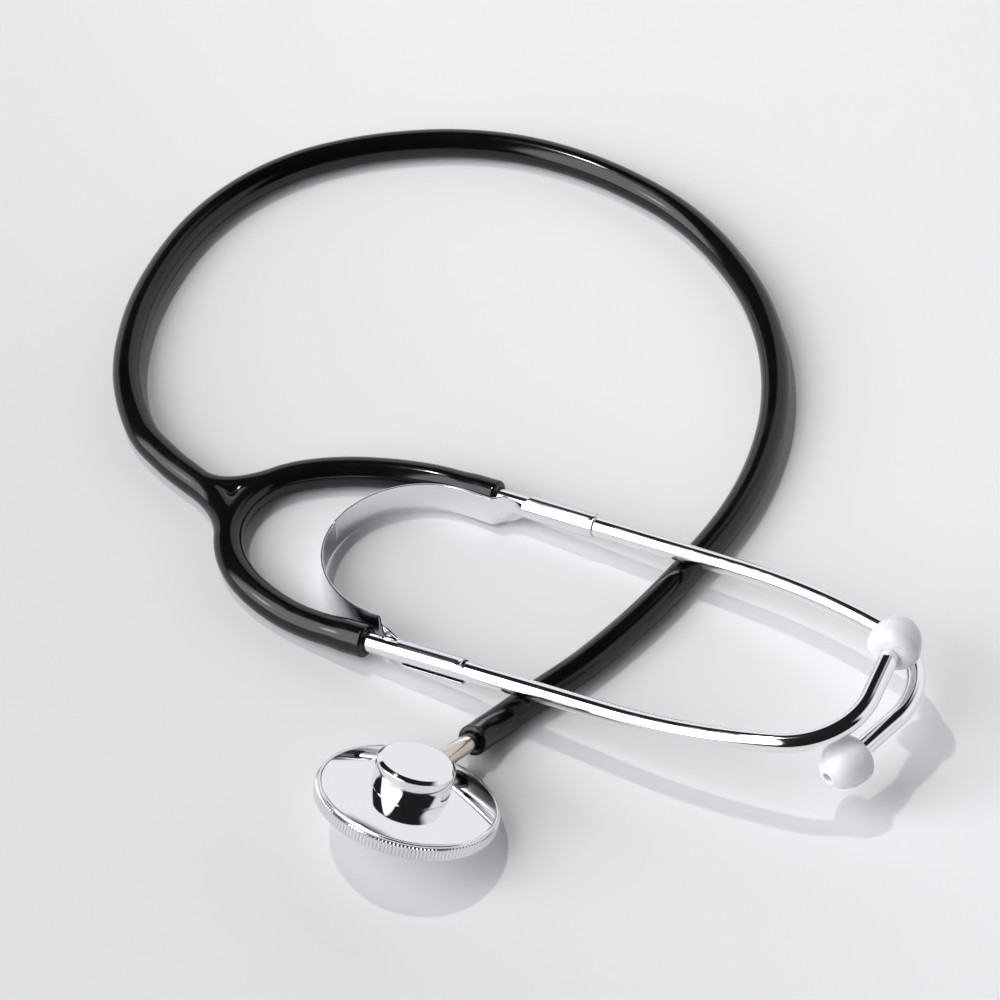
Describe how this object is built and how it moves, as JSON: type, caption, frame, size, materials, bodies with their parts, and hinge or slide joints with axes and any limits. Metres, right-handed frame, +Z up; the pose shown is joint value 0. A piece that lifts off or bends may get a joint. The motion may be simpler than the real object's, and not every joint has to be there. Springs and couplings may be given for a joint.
{
  "type": "toy stethoscope",
  "caption": "Toy stethoscope with a knurled metal chestpiece, one black hose that forks in two, a steel leaf spring and bent chrome ear tubes with white ear tips.",
  "frame": {"origin": "On the table top under the middle of the headset and chestpiece together, the hose left out.", "axes": "+Z up from the table, +X along the headset from the fork towards the ear tips, +Y towards the far side of the hose loop."},
  "size_m": [0.2083, 0.2752, 0.0335],
  "materials": {
    "chestpiece_chrome": "polished chrome",
    "ring_chrome": "knurled chrome",
    "stem_nickel": "plain drawn nickel",
    "diaphragm_film": "stiff satin film",
    "hose_pvc": "glossy black PVC",
    "spring_steel": "bright plated spring steel",
    "ear_tube_chrome": "polished chrome",
    "ear_tip_plastic": "glossy white plastic"
  },
  "bodies": {
    "tubing": {"main_tube": "hose_pvc", "yoke": "hose_pvc", "leaf_spring": "spring_steel"},
    "left_arm": {"left_sleeve": "spring_steel", "left_ear_tube": "ear_tube_chrome", "left_branch": "hose_pvc"},
    "right_arm": {"right_sleeve": "spring_steel", "right_ear_tube": "ear_tube_chrome", "right_branch": "hose_pvc"},
    "left_tip": {"left_ear_tip": "ear_tip_plastic"},
    "right_tip": {"right_ear_tip": "ear_tip_plastic"},
    "chestpiece": {"bell_plate": "chestpiece_chrome", "hub": "chestpiece_chrome", "stem": "stem_nickel", "diaphragm": "diaphragm_film"},
    "ring": {"retaining_ring": "ring_chrome"}
  },
  "joints": [
    {"name": "left_arm_open", "type": "hinge", "parent": "tubing", "child": "left_arm", "pos_m": [-0.0342, 0.0551, 0.005], "axis": [0, 0, 1], "range_deg": [0, 45], "stiffness_Nm_per_rad": 0.3, "deforming": ["left_branch", "leaf_spring"]},
    {"name": "right_arm_open", "type": "hinge", "parent": "tubing", "child": "right_arm", "pos_m": [-0.051, 0.0233, 0.005], "axis": [-0.1603, -0.3021, -0.9397], "range_deg": [0, 15], "stiffness_Nm_per_rad": 0.3, "deforming": ["right_branch", "leaf_spring"]},
    {"name": "left_tip_turn", "type": "hinge", "parent": "left_arm", "child": "left_tip", "pos_m": [0.07586, -0.03808, 0.01515], "axis": [-0.6948, -0.716, -0.068], "continuous": true},
    {"name": "right_tip_turn", "type": "hinge", "parent": "right_arm", "child": "right_tip", "pos_m": [0.08378, -0.01742, 0.02664], "axis": [0.3821, 0.9224, 0.0558], "continuous": true},
    {"name": "chestpiece_swivel", "type": "hinge", "parent": "tubing", "child": "chestpiece", "pos_m": [-0.03288, -0.0484, 0.0168], "axis": [0.5203, 0.7714, -0.3665], "continuous": true},
    {"name": "ring_turn", "type": "hinge", "parent": "chestpiece", "child": "ring", "pos_m": [-0.0349, -0.0511, 0.00825], "axis": [0.2194, 0.294, 0.9303], "continuous": true}
  ],
  "couplings": [
    {"joint": "right_arm_open", "follows": "left_arm_open", "ratio": 0.33333}
  ]
}
